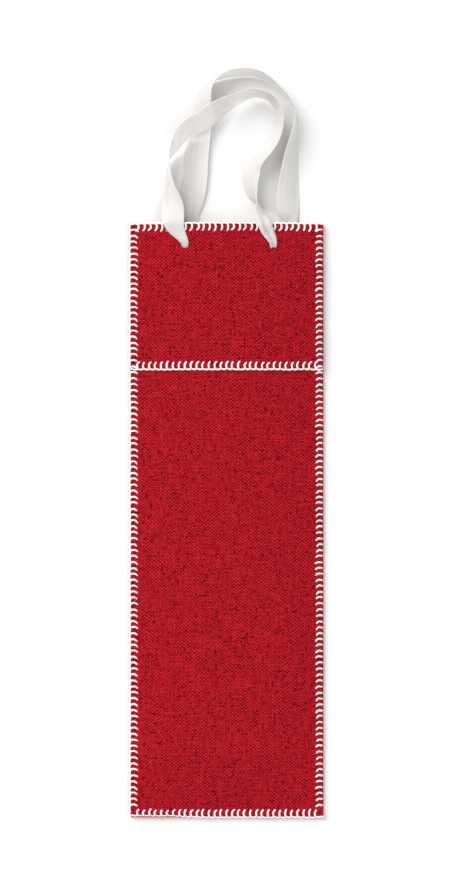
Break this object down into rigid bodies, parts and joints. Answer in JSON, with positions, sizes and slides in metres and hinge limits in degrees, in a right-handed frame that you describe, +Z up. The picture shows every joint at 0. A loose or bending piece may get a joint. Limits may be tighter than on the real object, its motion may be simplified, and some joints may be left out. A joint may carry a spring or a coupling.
{
  "type": "wine gift bag",
  "caption": "Tall narrow flat cloth bottle bag lying on its back, blanket-stitched edges, stitched cuff band and two ribbon loop handles.",
  "frame": {"origin": "on the surface that the bag lies on, at the centre of the whole footprint, loops included", "axes": "+Z up out of the front face, +Y along the bag from the bottom seam to the handles, +X to the right seen from the front"},
  "size_m": [0.1324, 0.507, 0.0201],
  "materials": {
    "red_jute_cloth": "coarse plain-dyed woven jute, matt",
    "white_cotton_yarn": "soft twisted cotton yarn, matt",
    "ivory_satin_ribbon": "woven satin ribbon, soft sheen"
  },
  "bodies": {
    "root": {"front_panel": "red_jute_cloth", "back_panel": "red_jute_cloth", "front_cuff": "red_jute_cloth", "back_cuff": "red_jute_cloth", "left_side_stitch": "white_cotton_yarn", "right_side_stitch": "white_cotton_yarn", "bottom_stitch": "white_cotton_yarn", "front_top_stitch": "white_cotton_yarn", "back_top_stitch": "white_cotton_yarn", "front_cuff_stitch": "white_cotton_yarn", "back_cuff_stitch": "white_cotton_yarn", "back_left_lead": "ivory_satin_ribbon", "back_right_lead": "ivory_satin_ribbon", "front_left_knot": "ivory_satin_ribbon", "front_right_knot": "ivory_satin_ribbon", "back_left_knot": "ivory_satin_ribbon", "back_right_knot": "ivory_satin_ribbon"},
    "front_handle_body": {"front_handle": "ivory_satin_ribbon"},
    "back_handle_body": {"back_handle": "ivory_satin_ribbon"}
  },
  "joints": [
    {"name": "front_handle_swing", "type": "hinge", "parent": "root", "child": "front_handle_body", "pos_m": [0, 0.13328, 0.01123], "axis": [1, 0, 0], "range_deg": [0, 150]},
    {"name": "back_handle_swing", "type": "hinge", "parent": "root", "child": "back_handle_body", "pos_m": [0, 0.14928, 0.0002], "axis": [1, 0, 0], "range_deg": [0, 60]}
  ],
  "couplings": [
    {"joint": "back_handle_swing", "follows": "front_handle_swing", "ratio": 0.4}
  ]
}
